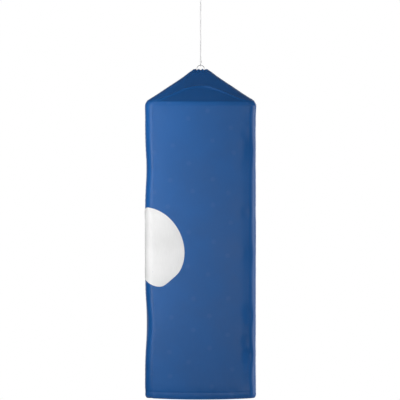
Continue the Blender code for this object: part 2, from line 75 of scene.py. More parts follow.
CLOTH = 0.0005  # thickness of the nylon
QUARTER = math.pi / 2
X_AXIS = Vector((1, 0, 0))
Y_AXIS = Vector((0, 1, 0))
Z_AXIS = Vector((0, 0, 1))
SIDES = ("front", "right", "back", "left")  # counter-clockwise, seen from above
CORNERS = ("front_right", "back_right", "back_left", "front_left")  # each at its side's far end

# Camera ----------------------------------------------------------------------------------------

VIEW_DISTANCE = 6.0
VIEW_LEVEL = HEM + 0.5548
VIEW_WIDTH = 1.149  # what the frame takes in, at the streamer's middle
VIEW_SHIFT = -0.0018


def camera():
    """A long lens, straight in front of the body and level with its upper half."""
    data = bpy.data.cameras.new("camera")
    data.sensor_width = 36
    data.lens = data.sensor_width * VIEW_DISTANCE / VIEW_WIDTH
    data.clip_end = 50
    made = bpy.data.objects.new("camera", data)
    made.location = (VIEW_SHIFT, -VIEW_DISTANCE, VIEW_LEVEL)
    made.rotation_euler = (QUARTER, 0, 0)
    bpy.context.scene.collection.objects.link(made)
    bpy.context.scene.camera = made


camera()

# Mesh helpers ----------------------------------------------------------------------------------


def ease(value, low, high):
    """0 below low, 1 above high, and a smooth step between."""
    t = min(1, max(0, (value - low) / (high - low)))
    return t * t * (3 - 2 * t)


def bell(value, spread):
    """1 at 0, falling off on both sides."""
    return math.exp(-((value / spread) ** 2))


def spaced(count, crowd=0.0):
    """Values from 0 to 1, closer together at both ends as crowd goes to 1."""
    steps = [i / count for i in range(count + 1)]
    return [t - crowd * math.sin(2 * math.pi * t) / (2 * math.pi) for t in steps]


def place(name, data, finish):
    """A new smooth-shaded object with its material."""
    made = bpy.data.objects.new(name, data)
    bpy.context.scene.collection.objects.link(made)
    data.materials.append(finish)
    data.shade_smooth()
    return made


def grid(name, rows, finish, loop=False):
    """A surface through rows of (point, (u, v)). loop joins each row's end to its start."""
    width = len(rows[0])
    points = [point for row in rows for point, _ in row]
    faces = []
    for i in range(len(rows) - 1):
        for j in range(width - 1):
            first = i * width + j
            faces.append((first, first + 1, first + width + 1, first + width))
    data = bpy.data.meshes.new(name)
    data.from_pydata(points, [], faces)
    flat = [uv for row in rows for _, uv in row]
    layer = data.uv_layers.new(name="flat")
    for corner in data.loops:
        layer.data[corner.index].uv = flat[corner.vertex_index]
    if loop:
        shape = bmesh.new()
        shape.from_mesh(data)
        bmesh.ops.remove_doubles(shape, verts=shape.verts, dist=1e-6)
        bmesh.ops.recalc_face_normals(shape, faces=shape.faces)
        shape.to_mesh(data)
        shape.free()
    return place(name, data, finish)


def thicken(piece, thickness, offset):
    """Gives a surface its thickness, with crisp edges: offset -1 is inwards, 1 outwards."""
    shell = piece.modifiers.new("thickness", "SOLIDIFY")
    shell.thickness = thickness
    shell.offset = offset
    shell.use_even_offset = False
    solid = piece.evaluated_get(bpy.context.evaluated_depsgraph_get())
    data = bpy.data.meshes.new_from_object(solid)
    piece.modifiers.clear()
    piece.data = data
    data.set_sharp_from_angle(angle=math.radians(60))
    return piece


# Material helpers ------------------------------------------------------------------------------


def add(tree, kind, inputs=None, **settings):
    """A shader node with its settings, and with values or links on its inputs."""
    made = tree.nodes.new("ShaderNode" + kind)
    for name, value in settings.items():
        setattr(made, name, value)
    for name, value in (inputs or {}).items():
        if isinstance(value, bpy.types.NodeSocket):
            tree.links.new(value, made.inputs[name])
        else:
            made.inputs[name].default_value = value
    return made


def maths(tree, operation, *values):
    """The result of one Math node on values or other nodes' outputs."""
    return add(tree, "Math", dict(enumerate(values)), operation=operation).outputs[0]


def ramp(tree, value, low, high, start=0.0, end=1.0):
    """Maps low..high to start..end smoothly, and holds the ends."""
    inputs = {"Value": value, 1: low, 2: high, 3: start, 4: end}
    return add(tree, "MapRange", inputs, interpolation_type="SMOOTHSTEP").outputs[0]


def tinted(tree, colour, shade, amount):
    """A colour darkened and lightened by amount as shade goes from 0 to 1."""
    dark = tuple(c * (1 - amount) for c in colour) + (1,)
    light = tuple(min(1, c * (1 + amount)) for c in colour) + (1,)
    return add(tree, "MixRGB", {"Fac": shade, "Color1": dark, "Color2": light}).outputs[0]


def speckle(tree, where, scale, detail=3.0, roughness=0.5):
    """A noise texture's value."""
    inputs = {"Vector": where, "Scale": scale, "Detail": detail, "Roughness": roughness}
    return add(tree, "TexNoise", inputs).outputs["Fac"]


def stretched(tree, where, scale):
    """Positions scaled along each axis, for speckles that run along the cloth or the part."""
    return add(tree, "Mapping", {0: where, "Scale": scale}).outputs[0]


def mix_of(tree, first, share, second):
    """A mix of two values: share of the first and the rest of the second."""
    weighted = maths(tree, "MULTIPLY", first, share)
    return maths(tree, "ADD", weighted, maths(tree, "MULTIPLY", second, 1 - share))


def finish_of(name, roughness, metallic=0.0, **constants):
    """A Principled material, its tree and its shader."""
    made = bpy.data.materials.new(name)
    made.use_nodes = True
    tree = made.node_tree
    shader = tree.nodes["Principled BSDF"]
    shader.inputs["Roughness"].default_value = roughness
    shader.inputs["Metallic"].default_value = metallic
    for label, value in constants.items():
        shader.inputs[label.replace("_", " ")].default_value = value
    return made, tree, shader


def bumped(tree, shader, *layers):
    """Stacks bump layers of (height, strength, depth in metres) on a shader."""
    normal = None
    for height, strength, depth in layers:
        inputs = {"Height": height, "Strength": strength, "Distance": depth}
        if normal is not None:
            inputs["Normal"] = normal
        normal = add(tree, "Bump", inputs).outputs[0]
    tree.links.new(normal, shader.inputs["Normal"])


# Fabric materials ------------------------------------------------------------------------------

THREAD_PITCH = 0.0009
TAPE_PITCH = 0.0013  # of the coarser threads of the corner tapes
DOT_ACROSS = 0.056  # spacing of the pale dots
DOT_ALONG = 0.096
DOT_RADIUS = 0.0095
DOT_SHARE = 0.28  # how strongly they show
SLUB_GRAIN = (900, 40, 1)  # uneven threads, drawn out up the cloth
CREASE_GRAIN = (30, 14, 1)


def crossed_threads(tree, u, v, pitch):
    """The height of a plain weave."""
    ridges = []
    for along in (u, v):
        turn = maths(tree, "MULTIPLY", along, math.pi / pitch)
        ridges.append(maths(tree, "ABSOLUTE", maths(tree, "SINE", turn)))
    return maths(tree, "MULTIPLY", ridges[0], ridges[1])


def pale_dots(tree, u, v):
    """1 on soft round dots in staggered columns, each a little off its place."""
    column = maths(tree, "FLOOR", maths(tree, "DIVIDE", u, DOT_ACROSS))
    shift = maths(tree, "MULTIPLY", column, 0.5)
    along = maths(tree, "ADD", maths(tree, "DIVIDE", v, DOT_ALONG), shift)
    row = maths(tree, "FLOOR", along)
    cell = add(tree, "CombineXYZ", {"X": column, "Y": row}).outputs[0]
    jitter = add(tree, "TexWhiteNoise", {"Vector": cell}, noise_dimensions="3D").outputs["Color"]
    stray = add(tree, "SeparateXYZ", {0: jitter}).outputs
    squares = []
    for place_in_cell, spacing, slip in (
        (maths(tree, "FRACT", maths(tree, "DIVIDE", u, DOT_ACROSS)), DOT_ACROSS, stray[0]),
        (maths(tree, "FRACT", along), DOT_ALONG, stray[1]),
    ):
        middle = ramp(tree, slip, 0.0, 1.0, 0.34, 0.66)
        away = maths(tree, "MULTIPLY", maths(tree, "SUBTRACT", place_in_cell, middle), spacing)
        squares.append(maths(tree, "MULTIPLY", away, away))
    distance = maths(tree, "SQRT", maths(tree, "ADD", squares[0], squares[1]))
    return ramp(tree, distance, 0.35 * DOT_RADIUS, DOT_RADIUS, 1.0, 0.0)


def nylon(name, colour, roughness=0.36, shine=0.24, dots=0.0, pitch=THREAD_PITCH, crease=0.6):
    """Coated satin nylon: plain weave, faint slubs, soft creases and, if asked, pale dots."""
    made, tree, shader = finish_of(name, roughness, Specular_IOR_Level=shine)
    flat = add(tree, "UVMap", uv_map="flat").outputs[0]
    u, v, _ = add(tree, "SeparateXYZ", {0: flat}).outputs
    broad = speckle(tree, flat, 9.0, 3.0)
    slubs = speckle(tree, stretched(tree, flat, SLUB_GRAIN), 1.0)
    shade = mix_of(tree, broad, 0.7, slubs)
    base = tinted(tree, colour, ramp(tree, shade, 0.3, 0.7), 0.07)
    if dots:
        pale = tuple(c + dots for c in colour) + (1,)
        spot = maths(tree, "MULTIPLY", pale_dots(tree, u, v), DOT_SHARE)
        base = add(tree, "MixRGB", {"Fac": spot, "Color1": base, "Color2": pale}).outputs[0]
    tree.links.new(base, shader.inputs["Base Color"])
    rough = ramp(tree, broad, 0.3, 0.7, roughness - 0.04, roughness + 0.05)
    tree.links.new(rough, shader.inputs["Roughness"])
    creases = speckle(tree, stretched(tree, flat, CREASE_GRAIN), 1.0, 5.0)
    weave = crossed_threads(tree, u, v, pitch)
    bumped(tree, shader, (creases, crease, 0.0012), (weave, 0.25, 0.00012))
    return made


def stitch_thread(name, colour):
    """Twisted polyester thread."""
    made, tree, shader = finish_of(name, 0.5)
    where = add(tree, "TexCoord").outputs["Object"]
    fibres = speckle(tree, where, 2600.0, 4.0)
    tree.links.new(tinted(tree, colour, fibres, 0.18), shader.inputs["Base Color"])
    bumped(tree, shader, (fibres, 0.4, 0.0001))
    return made


BODY_BLUE = (0.0105, 0.088, 0.290)
# The crown's blue is the body's blue made about a sixth darker: painted shade for the crown, which
# slopes up away from the lamps.
CROWN_BLUE_PAINTED_SHADE = (0.0086, 0.073, 0.243)
TAPE_BLUE = (0.0100, 0.085, 0.283)
THREAD_BLUE = (0.011, 0.092, 0.30)
THREAD_WHITE = (0.78, 0.78, 0.77)
WHITE = (0.715, 0.715, 0.715)

BODY_NYLON = nylon("body_nylon", BODY_BLUE, dots=0.030)
# The crown panels and hip tapes take this darker copy of the body nylon, a painted shade on top of
# the shade the lamps give.
CROWN_NYLON_PAINTED_SHADE = nylon("crown_nylon", CROWN_BLUE_PAINTED_SHADE, roughness=0.38, shine=0.14)
TAPE_NYLON = nylon("tape_nylon", TAPE_BLUE, pitch=TAPE_PITCH, crease=0.35)
PATCH_NYLON = nylon("patch_nylon", WHITE, roughness=0.5, crease=0.3)
BLUE_THREAD = stitch_thread("blue_thread", THREAD_BLUE)
WHITE_THREAD = stitch_thread("white_thread", THREAD_WHITE)

# Fabric surface --------------------------------------------------------------------------------

PILLOW = 0.0014  # how far the body's skin stands out all over
BILLOW = 0.0009  # and how much that changes from place to place
# How far each corner falls in between the frames, and how deep the small wrinkles beside it are.
# The front right one is the slackest, and its slack lies a little on its front side.
RELAX = {"front_right": 0.0046, "back_right": 0.0024, "back_left": 0.0024, "front_left": 0.00072}
RELAX_SPREAD = 0.024
RELAX_OFFSET = {"front_right": 0.004}  # how far before the corner's middle its slack lies
WRINKLE = {"front_right": 0.0034, "back_right": 0.0010, "back_left": 0.0010, "front_left": 0.0010}
WRINKLE_SPREAD = 0.012
WRINKLE_LENGTH = 0.045
PUCKER = 0.00022  # of the seams beside a corner tape
PUCKER_PITCH = 0.0125
PUCKER_SPREAD = 0.007
SHOULDER_FOLD = 0.0035  # how far the fold at the shoulder spreads, in the middle of a side
CORNER_FOLD = 0.013  # and at the corners
CORNER_FOLD_SPREAD = 0.026
HEM_FOLD = 0.0066  # half width of the turned hem's fold
HEM_DROP = 0.0115  # and how far up its rounding starts
HEM_FLAP = 0.020  # how far the turned hem comes up inside
HEM_STITCH = 0.0185  # height of its stitching above the hem
HEM_REACH = 0.06  # how far up its tucks may run
HEM_SAG = 0.0045  # how far a side's hem hangs below its corners, at mid-side
SAG_REACH = 0.060  # how far up that runs out
NECK_ROLL = 0.0008  # radius of the neck's turned edge
RUFFLE = 0.0026  # depth of the scallops along the neck's edge
RUFFLE_REACH = 0.006  # how far they run down from it

ARCH_RISE = 0.0455  # height of the crown's curved fold above the shoulder, at mid-side
ARCH_DEPTH = {"front": 0.0046, "right": 0.0023, "back": 0.0046, "left": 0.0023}
ARCH_SPREAD = 0.0046
PLEAT_REACH = 0.050  # how far the gathers run down from the neck
PLEAT_DEPTH = 0.0022
PLEATS = 1.5  # between the middle of a side and its corner

# Slack places along each corner: height above the hem, distance on from the corner's middle
# (counter-clockwise), depth, half length, and half width before and after that place.
SLACK = {
    "front_left": ((0.340, 0.000, 0.0010, 0.030, 0.014, 0.014),),
    "front_right": (
        (0.232, -0.014, 0.0036, 0.022, 0.013, 0.012),
        (0.118, -0.014, 0.0044, 0.024, 0.014, 0.012),
        (0.400, -0.012, 0.0022, 0.030, 0.012, 0.012),
        (0.690, -0.012, 0.0024, 0.035, 0.012, 0.012),
    ),
    "back_right": (
        (0.300, 0.000, 0.0045, 0.060, 0.024, 0.024),
        (0.575, 0.004, 0.0030, 0.050, 0.022, 0.022),
    ),
    "back_left": (
        (0.430, 0.000, 0.0050, 0.065, 0.024, 0.024),
        (0.150, -0.004, 0.0035, 0.040, 0.020, 0.020),
    ),
}

# Where the front left corner and the side panel behind it are drawn in towards the middle: height
# above the hem, depth and half length.
DRAWN_IN = ((0.205, 0.0066, 0.065), (0.640, 0.0038, 0.060))


def corner_radius(width):
    """The corners tighten as the crown narrows to its neck."""
    return NECK_CORNER + (CORNER - NECK_CORNER) * (width - NECK_HALF) / (HALF - NECK_HALF)


def profile(q, fold):
    """Half width, height and the normal's tilt, q up the skin from the shoulder line."""
    if q > CROWN_LENGTH:
        turn = (q - CROWN_LENGTH) / NECK_ROLL
        tilt = QUARTER - SLOPE
        width = NECK_HALF - NECK_ROLL * (math.sin(turn + SLOPE) - math.sin(SLOPE))
        height = NECK + NECK_ROLL * (math.cos(SLOPE) - math.cos(turn + SLOPE)) * 0.8
        return width, height, tilt + turn
    if abs(q) < fold:
        t = (q / fold + 1) / 2
        past = t * t * fold
        width = HALF - past * math.cos(SLOPE)
        height = SHOULDER - (1 - t) ** 2 * fold + past * math.sin(SLOPE)
        return width, height, t * (QUARTER - SLOPE)
    if q > 0:
        return HALF - q * math.cos(SLOPE), SHOULDER + q * math.sin(SLOPE), QUARTER - SLOPE
    straight = BODY_LENGTH - HEM_DROP
    if -q <= straight:
        return HALF, SHOULDER + q, 0.0
    turn = (-q - straight) / HEM_FOLD
    if turn < math.pi:
        width = HALF - HEM_FOLD + HEM_FOLD * math.cos(turn)
        return width, HEM + HEM_DROP - HEM_DROP * math.sin(turn), -turn
    up = HEM_DROP + HEM_FOLD * (turn - math.pi)
    closing = ease(up, ROD_LEVEL - HEM + 0.003, HEM_STITCH)
    gap = 2 * HEM_FOLD + (2.6 * CLOTH - 2 * HEM_FOLD) * closing
    return HALF - gap, HEM + up, -math.pi


def near_ends(q):
    """0 near the shoulder's and the hem's frames, where the skin is held, and 1 between."""
    return ease(-q, 0.010, 0.050) * ease(BODY_LENGTH + q, 0.008, 0.060)


def body_relief(side, along, reach, q):
    """How far the body's skin stands out, at a distance along from the middle of a side."""
    level = q + BODY_LENGTH
    free = near_ends(q)
    total = 0.0
    for corner, away in ((side, along - reach), (side - 1, along + reach)):
        name = CORNERS[corner]
        for height, past, depth, length, before, after in SLACK[name]:
            width = before if away < past else after
            total -= depth * bell(level - height, length) * bell(away - past, width)
        wander = noise.noise(Vector((level / WRINKLE_LENGTH, 3.1 * corner, 0.0)))
        beside = bell(abs(away) - 1.25 * CORNER, WRINKLE_SPREAD)
        total -= WRINKLE[name] * max(0, wander) * beside
        tight = bell(abs(away) - 0.78 * CORNER, PUCKER_SPREAD)
        total += PUCKER * tight * math.sin(level * 2 * math.pi / PUCKER_PITCH + 5 * wander)
        total -= RELAX[name] * bell(away + RELAX_OFFSET.get(name, 0.0), RELAX_SPREAD)
    where = Vector((along / 0.11 + 11 * side, level / 0.19, 0.7))
    total += BILLOW * noise.noise(where)
    return total * free + PILLOW * ease(-q, 0.0, 0.012) * ease(level, 0.0, 0.040)


def hem_relief(side, along, q):
    """The rod pocket's swelling, its stitched line and its small tucks."""
    level = q + BODY_LENGTH
    if level > HEM_REACH:
        return 0.0
    tuck = noise.noise(Vector((along / 0.021 + 7 * side, 0.3, 0.0)))
    lean = noise.noise(Vector((along / 0.055 + 5 * side, 2.3, 0.0)))
    pocket = 0.0003 * bell(level - (ROD_LEVEL - HEM) - 0.001 * lean, 0.0055)
    line = -0.0004 * bell(level - HEM_STITCH, 0.0024)
    tucks = 0.0007 * tuck * bell(level - HEM_STITCH, 0.009)
    swell = 0.0011 * lean * bell(level - 0.012, 0.008)
    return (pocket + line + tucks + swell) * ease(level, -0.004, 0.003)


def crown_relief(side, along, reach, q):
    """The crown's curved fold and the gathers below the neck."""
    rise = q * math.sin(SLOPE)
    arch = ARCH_RISE * (1 + math.cos(math.pi * min(1, abs(along) / HALF))) / 2
    away = (rise - arch) / math.sin(SLOPE)
    fade = 1 - 0.75 * (abs(along) / HALF) ** 1.5
    wander = noise.noise(Vector((along / 0.035 + 9 * side, 4.7, 0.0)))
    fold = ARCH_DEPTH[SIDES[side]] * fade * (1 + 0.4 * wander) * bell(away, ARCH_SPREAD)
    phase = PLEATS * (reach - abs(along)) / NECK_REACH
    gather = ease(q, CROWN_LENGTH - PLEAT_REACH, CROWN_LENGTH) ** 1.6
    pleats = PLEAT_DEPTH * gather * (0.5 + 0.5 * math.cos(2 * math.pi * phase))
    soft = 0.0008 * noise.noise(Vector((along / 0.06 + 13 * side, q / 0.05, 1.9)))
    return fold * ease(q, 0.0, 0.012) + pleats + soft * ease(q, 0.004, 0.03)


def skin(side, u, turn, q, lift=0.0):
    """A point of the outside of the skin and its flat (u, v).

    u runs from -1 to 1 across a side's flat part and turn from 0 to 1 round the corner after it.
    q is the distance up the skin from the shoulder line, and lift stands a patch off the skin.
    """
    angle = turn * QUARTER
    middle = FLAT + HALF_ARC
    along = u * FLAT + angle * CORNER
    edge = min(abs(along - middle), abs(along + middle))
    fold = SHOULDER_FOLD + (CORNER_FOLD - SHOULDER_FOLD) * bell(edge, CORNER_FOLD_SPREAD)
    width, height, tilt = profile(q, fold)
    radius = corner_radius(min(width, HALF))
    flat = width - radius
    reach = flat + math.pi / 4 * radius
    along = u * flat + angle * radius
    out = radius * math.cos(angle) + flat
    across = radius * math.sin(angle) + u * flat
    if width < HALF - 1e-9 and q < -fold:
        inset = HALF - width  # the turned hem keeps its corners' centre
        across = u * FLAT + (CORNER - inset) * math.sin(angle)
        out = FLAT + (CORNER - inset) * math.cos(angle)
        along = u * FLAT + angle * CORNER
        reach = middle
    if q < 0:
        stand = body_relief(side, along, reach, max(q, -BODY_LENGTH))
        stand += hem_relief(side, along, q)
    else:
        stand = crown_relief(side, along, reach, min(q, CROWN_LENGTH))
    if q >= CROWN_LENGTH - RUFFLE_REACH:
        phase = PLEATS * (reach - abs(along)) / NECK_REACH
        ruffle = ease(q, CROWN_LENGTH - RUFFLE_REACH, CROWN_LENGTH)
        height += RUFFLE * ruffle * (math.cos(2 * math.pi * phase) - 1) / 2
    low = ease(SHOULDER - height, BODY_LENGTH - SAG_REACH, BODY_LENGTH)
    height -= HEM_SAG * low * (1 - (min(1, abs(across) / HALF)) ** 2)
    stand += lift
    level_way = math.cos(tilt) * stand
    across += math.sin(angle) * level_way
    out += math.cos(angle) * level_way
    height += math.sin(tilt) * stand
    turned = Matrix.Rotation(side * QUARTER, 3, "Z")
    point = turned @ Vector((across, -out, height))
    point.x += drawn_in(point)
    return point, (along + side * 2 * middle, q + BODY_LENGTH)


def drawn_in(point):
    """How far a point of the skin moves towards the middle at the slack left side."""
    held = ease(-point.x, HALF - 0.062, HALF - 0.006) * bell(point.y + HALF, 0.13)
    level = point.z - HEM
    return held * sum(depth * bell(level - at, length) for at, depth, length in DRAWN_IN)


def levels(stretches):
    """Distances up the skin from stretches of (start, end, count)."""
    found = []
    for start, end, count in stretches:
        found += [start + (end - start) * i / count for i in range(count)]
    return found + [stretches[-1][1]]


HEM_TURN = HEM_FOLD * math.pi - HEM_DROP + HEM_FLAP
BODY_LEVELS = levels(
    (
        (-BODY_LENGTH - HEM_TURN, -BODY_LENGTH + HEM_DROP, 38),
        (-BODY_LENGTH + HEM_DROP, -BODY_LENGTH + 0.028, 20),
        (-BODY_LENGTH + 0.028, -CORNER_FOLD, 186),
        (-CORNER_FOLD, 0.0, 9),
    )
)
CROWN_LEVELS = levels(
    (
        (0.0, CORNER_FOLD, 9),
        (CORNER_FOLD, CROWN_LENGTH, 88),
        (CROWN_LENGTH, CROWN_LENGTH + NECK_ROLL * 2.3, 5),
    )
)


def panel(name, side, heights, finish, columns=96):
    """One side's flat part."""
    across = [2 * t - 1 for t in spaced(columns, 0.55)]
    rows = [[skin(side, u, 0.0, q) for u in across] for q in heights]
    return thicken(grid(name, rows, finish), CLOTH, -1)


def tape(name, side, heights, finish, columns=14):
    """The strip round the corner after a side."""
    rows = [[skin(side, 1.0, t, q) for t in spaced(columns)] for q in heights]
    return thicken(grid(name, rows, finish), CLOTH, -1)


def fabric():
    """Body panels, corner tapes, crown panels and hip tapes, each in place of its CAD solid."""
    for side, (where, corner) in enumerate(zip(SIDES, CORNERS)):
        made = panel(f"body_{where}_cloth", side, BODY_LEVELS, BODY_NYLON)
        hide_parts(f"body_panel_{where}")
        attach(made, "streamer")

        made = tape(f"corner_{corner}_tape", side, BODY_LEVELS, TAPE_NYLON)
        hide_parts(f"corner_seam_{corner}")
        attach(made, "streamer")

        made = panel(f"crown_{where}_cloth", side, CROWN_LEVELS, CROWN_NYLON_PAINTED_SHADE)
        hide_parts(f"crown_panel_{where}")
        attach(made, "streamer")

        made = tape(f"hip_{corner}_tape", side, CROWN_LEVELS, CROWN_NYLON_PAINTED_SHADE)
        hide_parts(f"crown_seam_{corner}")
        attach(made, "streamer")


# Cord ------------------------------------------------------------------------------------------

CORD_WHITE = (0.78, 0.78, 0.78)
BRAID_PITCH = 0.0085  # one turn of its strands
BRAID_STEPS = 520
LOOP_STEPS = 120
LOOP_TURNS = 3  # of the strands round a loop


def braided(name, at, length, steps, radius, pitch, finish, strands=6, closed=False):
    """A braided cord's surface round a centre line. at(t) gives a point and two cross axes."""
    rows = []
    count = 4 * strands + 1
    for i in range(steps + 1):
        t = i / steps
        centre, first, second = at(t)
        row = []
        for j in range(count):
            angle = 2 * math.pi * j / (count - 1)
            twist = 2 * math.pi * t * length / pitch
            lobes = math.cos(strands / 2 * angle + twist) * math.cos(strands / 2 * angle - twist)
            depth = radius * (1 - 0.09 * (1 - lobes))
            spoke = first * math.cos(angle) + second * math.sin(angle)
            row.append((centre + spoke * depth, (angle * radius, t * length)))
        rows.append(row)
    if not closed:
        for end in (0, -1):
            centre, _, _ = at(0 if end == 0 else 1)
            cap = [(centre + (point - centre) * 0.02, uv) for point, uv in rows[end]]
            rows.insert(0 if end == 0 else len(rows), cap)
    return grid(name, rows, finish, loop=True)


def cord_finish():
    """White polyester braid with a few soiled fibres."""
    made, tree, shader = finish_of("cord_braid", 0.7)
    where = add(tree, "TexCoord").outputs["Object"]
    fibres = speckle(tree, where, 1800.0, 4.0)
    patches = speckle(tree, where, 60.0, 2.0)
    shade = mix_of(tree, fibres, 0.5, patches)
    tree.links.new(tinted(tree, CORD_WHITE, shade, 0.12), shader.inputs["Base Color"])
    bumped(tree, shader, (fibres, 0.5, 0.00015))
    return made


CORD_FINISH = cord_finish()


def straight(low, high):
    """The centre line of an upright run."""

    def at(t):
        return Vector((0, 0, low + (high - low) * t)), X_AXIS, Y_AXIS

    return at


def ring(centre, radius, plane):
    """A round centre line in the plane of two axes."""
    first, second = plane
    side = first.cross(second)

    def at(t):
        angle = 2 * math.pi * t
        spoke = first * math.cos(angle) + second * math.sin(angle)
        return centre + spoke * radius, spoke, side

    return at


def whipping(name, low, high, radius, turns=11):
    """Thread wound tightly round the two legs of a loop."""
    rows = []
    steps, around = 12 * turns, 28
    for i in range(steps + 1):
        t = i / steps
        rounding = math.sqrt(max(0, 1 - abs(2 * t - 1) ** 7))
        row = []
        for j in range(around + 1):
            angle = 2 * math.pi * j / around
            groove = 0.5 + 0.5 * math.cos(2 * math.pi * turns * t + angle)
            depth = radius * max(0.02, rounding * (1 - 0.10 * groove))
            at = Vector((depth * math.cos(angle), depth * math.sin(angle), low + (high - low) * t))
            row.append((at, (angle * radius, t * (high - low))))
        rows.append(row)
    return grid(name, rows, CORD_FINISH, loop=True)


def cord():
    """The taut hanging cord, with a whipped loop at each end."""
    low, high = CORD_LOW.z, CORD_HIGH.z
    length = high - low
    run = braided(
        "hanging_cord_braid",
        straight(low, high),
        length,
        BRAID_STEPS,
        CORD_RADIUS,
        BRAID_PITCH,
        CORD_FINISH,
    )
    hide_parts("hanging_cord")
    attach(run, "cord_line")
    ends = []
    for where, up in (("upper", 1), ("lower", -1)):
        lowest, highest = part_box(f"cord_{where}_loop")
        loop_radius = highest.y - CORD_RADIUS
        edge = highest.z if up > 0 else lowest.z
        centre = Vector((0, 0, edge - up * (loop_radius + CORD_RADIUS)))
        loop = braided(
            f"cord_{where}_loop_braid",
            ring(centre, loop_radius, (Y_AXIS, Z_AXIS)),
            2 * math.pi * loop_radius,
            LOOP_STEPS,
            CORD_RADIUS,
            2 * math.pi * loop_radius / LOOP_TURNS,
            CORD_FINISH,
            closed=True,
        )
        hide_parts(f"cord_{where}_loop")
        near = lowest.z if up > 0 else highest.z
        far = centre.z - up * (loop_radius - 0.6 * CORD_RADIUS)
        wrap = whipping(f"cord_{where}_whipping", min(near, far), max(near, far), highest.x)
        for piece in (loop, wrap):
            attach(piece, "cord_line")
        ends += [loop, wrap]


cord()
fabric()

# White patch -----------------------------------------------------------------------------------

PATCH_REACH = 0.982 * PATCH_RADIUS  # the cloth's radius, a little under the CAD disc's
# How far its hand-cut edge is from round, as shares of that radius.
PATCH_OVAL = 0.067
PATCH_LEAN = math.radians(51)
PATCH_DROOP = 0.014  # its lower half is larger than its upper half
PATCH_SHORT = 0.1675  # how much shorter it reaches on the side panel
PATCH_SHORTER = 0.0425  # and how much that changes between its top and its bottom
PATCH_TRIM = 0.032  # where its lower edge is cut a little straight
PATCH_TRIM_TURN = -0.91  # that place's direction, in radians
PATCH_TRIM_SPREAD = 0.21
PATCH_CLOTH = 0.0004
PATCH_LIFT = 0.0003  # between the patch and the skin
PATCH_EDGE = 0.955  # its sewn edge's share of the way out
EDGE_TURN = 0.00035  # how much the turned edge stands out
EDGE_PUCKER = 0.00012
EDGE_PUCKERS = 58


def patch_edge(angle):
    """The disc's radius in a flat direction; 0 is along the front, 90 degrees is up."""
    oval = PATCH_OVAL * math.cos(2 * angle - PATCH_LEAN)
    up = math.sin(angle)
    beside = ease(-math.cos(angle), -0.23 + 0.19 * up, 0.225 + 0.055 * up)
    short = (PATCH_SHORT - PATCH_SHORTER * up) * beside
    off_trim = math.remainder(angle - PATCH_TRIM_TURN, 2 * math.pi)
    trim = PATCH_TRIM * bell(off_trim, PATCH_TRIM_SPREAD)
    return PATCH_REACH * (1 - oval - PATCH_DROOP * up - short - trim)


def round_corner(side, past, level, lift):
    """The skin's point at a flat distance past the middle of the corner after a side."""
    q = level - BODY_LENGTH
    if past < -HALF_ARC:
        return skin(side, (FLAT + HALF_ARC + past) / FLAT, 0.0, q, lift)
    if past > HALF_ARC:
        return skin((side + 1) % 4, (past - HALF_ARC) / FLAT - 1, 0.0, q, lift)
    return skin(side, 1.0, (past + HALF_ARC) / (2 * HALF_ARC), q, lift)


def patch_point(angle, share, lift):
    """A point of the patch, share of the way from its middle to its edge."""
    reach = patch_edge(angle) * share
    level = PATCH_LEVEL - HEM + reach * math.sin(angle)
    return round_corner(3, reach * math.cos(angle), level, lift)[0]


def near_middle(point):
    """True inside the patch's innermost ring."""
    centre = patch_point(0, 0, 0)
    return (point - centre).length < 0.01


def patch():
    """A white disc sewn on round the front left corner, with its edge turned under."""
    rings = [0.02 + 0.94 * i / 60 for i in range(61)] + [0.97, 0.985, 0.996, 1.0]
    around = 220
    rows = []
    for share in rings:
        turned_under = EDGE_TURN * ease(share, 0.945, 0.965) * (1 - ease(share, 0.985, 1.0))
        row = []
        for j in range(around + 1):
            angle = 2 * math.pi * (j % around) / around
            pucker = EDGE_PUCKER * math.sin(EDGE_PUCKERS * angle) * bell(share - PATCH_EDGE, 0.02)
            point = patch_point(angle, share, PATCH_LIFT + turned_under + pucker)
            reach = patch_edge(angle) * share
            row.append((point, (reach * math.cos(angle), reach * math.sin(angle))))
        rows.append(row)
    made = grid("eye_patch_cloth", rows, PATCH_NYLON, loop=True)
    shape = bmesh.new()
    shape.from_mesh(made.data)
    inner = [e for e in shape.edges if e.is_boundary and all(near_middle(v.co) for v in e.verts)]
    bmesh.ops.contextual_create(shape, geom=inner)
    bmesh.ops.recalc_face_normals(shape, faces=shape.faces)
    shape.to_mesh(made.data)
    shape.free()
    thicken(made, PATCH_CLOTH, 1)
    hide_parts("eye_patch")
    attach(made, "streamer")


# Stitching -------------------------------------------------------------------------------------

STITCH = 0.0026  # length of a stitch that shows
STITCH_PITCH = 0.0038
THREAD = 0.00021  # radius
# Places along a stitch: how far along, how high and how thick, the last two in thread radii.
STITCH_SECTIONS = (
    (0, -0.6, 0.5),
    (0.2, 0.55, 0.95),
    (0.5, 0.9, 1),
    (0.8, 0.55, 0.95),
    (1, -0.6, 0.5),
)
STITCH_SIDES = 6
TWIN_INSET = 0.0022  # from a seam to the row of stitches on each side of it
STITCH_START = 0.004  # from the hem or the shoulder to a row's first stitch
CORNER_ROW = BODY_LENGTH - STITCH_START - 0.003
HIP_ROW = CROWN_LENGTH - 0.012
ZIGZAG = (0.992, 0.975)  # shares of the way out to the patch's edge
ZIGZAG_STEP = 0.0030
ZIGZAG_LIFT = 0.0011


def stitch(shape, start, end, lift):
    """One raised stitch: a bent, round thread that dips into the cloth at both ends."""
    along = end - start
    side = along.cross(lift).normalized() * THREAD
    up = lift.normalized() * THREAD
    sections = []
    for t, rise, girth in STITCH_SECTIONS:
        centre = start + along * t + up * rise
        section = []
        for k in range(STITCH_SIDES):
            angle = 2 * math.pi / STITCH_SIDES * k
            spoke = side * math.cos(angle) + up * math.sin(angle)
            section.append(shape.verts.new(centre + spoke * girth))
        sections.append(section)
    for first, second in zip(sections, sections[1:]):
        for k in range(STITCH_SIDES):
            after = (k + 1) % STITCH_SIDES
            shape.faces.new((first[k], first[after], second[after], second[k]))
    shape.faces.new(list(reversed(sections[0])))
    shape.faces.new(sections[-1])


